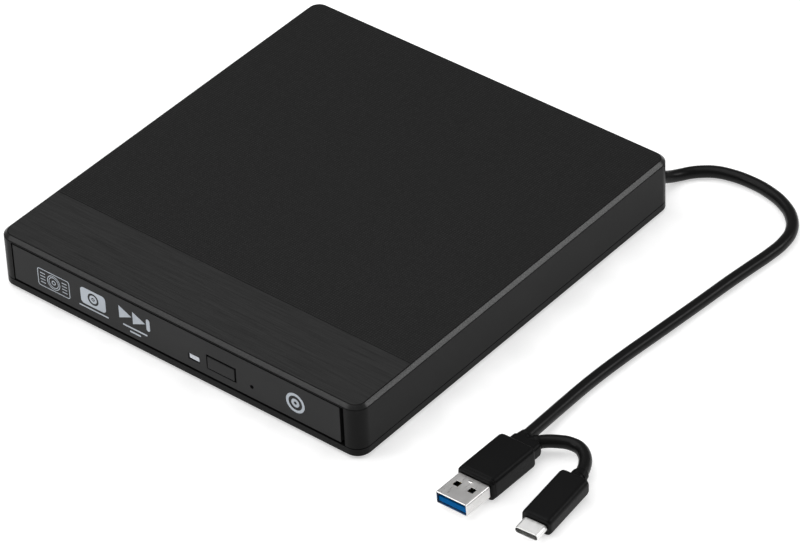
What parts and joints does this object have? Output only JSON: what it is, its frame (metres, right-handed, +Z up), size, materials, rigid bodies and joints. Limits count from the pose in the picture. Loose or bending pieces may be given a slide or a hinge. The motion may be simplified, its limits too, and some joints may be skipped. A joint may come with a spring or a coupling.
{
  "type": "external optical disc drive",
  "caption": "Flat black external disc drive with a slide-out disc tray, an eject button and a captive lead that ends in a USB-A plug with a USB-C plug on a short branch.",
  "frame": {"origin": "on the surface the drive stands on, under the middle of the case; the lead and its plugs are left out of the box", "axes": "+Z up, -Y out of the tray bezel, +X to the right when the bezel is faced"},
  "size_m": [0.2148, 0.1853, 0.0206],
  "materials": {
    "case_plastic": "satin black moulded plastic with a fine texture",
    "bezel_plastic": "satin black",
    "tray_plastic": "matte black",
    "rubber": "matte",
    "light_pipe": "frosted clear",
    "steel_sheet": "galvanised sheet",
    "dark_steel": "black passivated",
    "polished_steel": "ground",
    "plug_metal": "nickel plated, satin",
    "sled_plastic": "die cast",
    "lens": "coated lens",
    "circuit_board": "solder mask",
    "chip_plastic": "moulded",
    "ribbon_film": "polyimide film",
    "lead_jacket": "satin black jacket",
    "plug_rubber": "satin black overmould",
    "tongue_blue": "satin blue"
  },
  "bodies": {
    "enclosure": {"top_cover": "case_plastic", "bottom_cover": "case_plastic", "foot_front_left": "rubber", "foot_front_right": "rubber", "foot_rear_left": "rubber", "foot_rear_right": "rubber", "case_screw_front_left": "dark_steel", "case_screw_front_right": "dark_steel", "case_screw_rear_left": "dark_steel", "case_screw_rear_right": "dark_steel", "drive_chassis": "steel_sheet", "drive_top_plate": "steel_sheet", "connector_board": "circuit_board", "drive_sata_plug": "chip_plastic", "flex_ribbon": "ribbon_film", "latch_post": "polished_steel", "drive_screw_left": "dark_steel", "drive_screw_right": "dark_steel", "bridge_board": "circuit_board", "bridge_sata_socket": "chip_plastic", "bridge_chip": "chip_plastic", "inner_lead": "lead_jacket", "lead_grommet": "rubber", "usb_lead": "lead_jacket", "branch_lead": "lead_jacket", "usb_a_shell": "plug_metal", "usb_a_tongue": "tongue_blue", "usb_a_grip": "plug_rubber", "usb_c_shell": "plug_metal", "usb_c_insert": "chip_plastic", "usb_c_grip": "plug_rubber"},
    "rail_left": {"slide_rail_left": "polished_steel"},
    "rail_right": {"slide_rail_right": "polished_steel"},
    "tray": {"disc_tray": "tray_plastic", "tray_bezel": "bezel_plastic", "led_light_pipe": "light_pipe", "tray_cover_plate": "steel_sheet", "traverse_frame": "dark_steel", "traverse_plate": "dark_steel", "spindle_motor": "steel_sheet", "guide_rod_left": "polished_steel", "guide_rod_right": "polished_steel", "sled_motor": "steel_sheet", "damper_bushing_1": "rubber", "damper_bushing_2": "rubber", "damper_bushing_3": "rubber", "tray_control_board": "circuit_board", "control_chip": "chip_plastic", "eject_switch_board": "circuit_board", "latch_solenoid": "steel_sheet", "latch_pivot_pin": "polished_steel"},
    "button": {"eject_button": "bezel_plastic"},
    "hub": {"spindle_rotor": "polished_steel", "turntable": "tray_plastic", "turntable_pad": "rubber"},
    "pickup": {"pickup_sled": "sled_plastic", "objective_lens": "lens"},
    "screw": {"lead_screw": "polished_steel"},
    "latch": {"latch_hook": "dark_steel"}
  },
  "joints": [
    {"name": "tray_slide", "type": "slide", "parent": "enclosure", "child": "tray", "axis": [0, -1, 0], "range_m": [0, 0.128]},
    {"name": "left_rail_slide", "type": "slide", "parent": "enclosure", "child": "rail_left", "axis": [0, -1, 0], "range_m": [0, 0.064]},
    {"name": "right_rail_slide", "type": "slide", "parent": "enclosure", "child": "rail_right", "axis": [0, -1, 0], "range_m": [0, 0.064]},
    {"name": "eject_button_press", "type": "slide", "parent": "tray", "child": "button", "axis": [0, 1, 0], "range_m": [0, 0.0006], "stiffness_N_per_m": 800},
    {"name": "disc_hub_spin", "type": "hinge", "parent": "tray", "child": "hub", "pos_m": [0, -0.013, 0.0135], "axis": [0, 0, 1], "continuous": true},
    {"name": "pickup_travel", "type": "slide", "parent": "tray", "child": "pickup", "axis": [-0.7071, -0.7071, 0], "range_m": [0, 0.033]},
    {"name": "lead_screw_turn", "type": "hinge", "parent": "tray", "child": "screw", "pos_m": [-0.01803, -0.05154, 0.0084], "axis": [0.7071, 0.7071, 0], "range_deg": [0, 3970]},
    {"name": "latch_hook_swing", "type": "hinge", "parent": "tray", "child": "latch", "pos_m": [0.038, -0.05, 0.0084], "axis": [0, 0, 1], "range_deg": [0, 16]}
  ],
  "couplings": [
    {"joint": "left_rail_slide", "follows": "tray_slide", "ratio": 0.5},
    {"joint": "right_rail_slide", "follows": "tray_slide", "ratio": 0.5},
    {"joint": "lead_screw_turn", "follows": "pickup_travel", "rad_per_m": 2094.4}
  ]
}
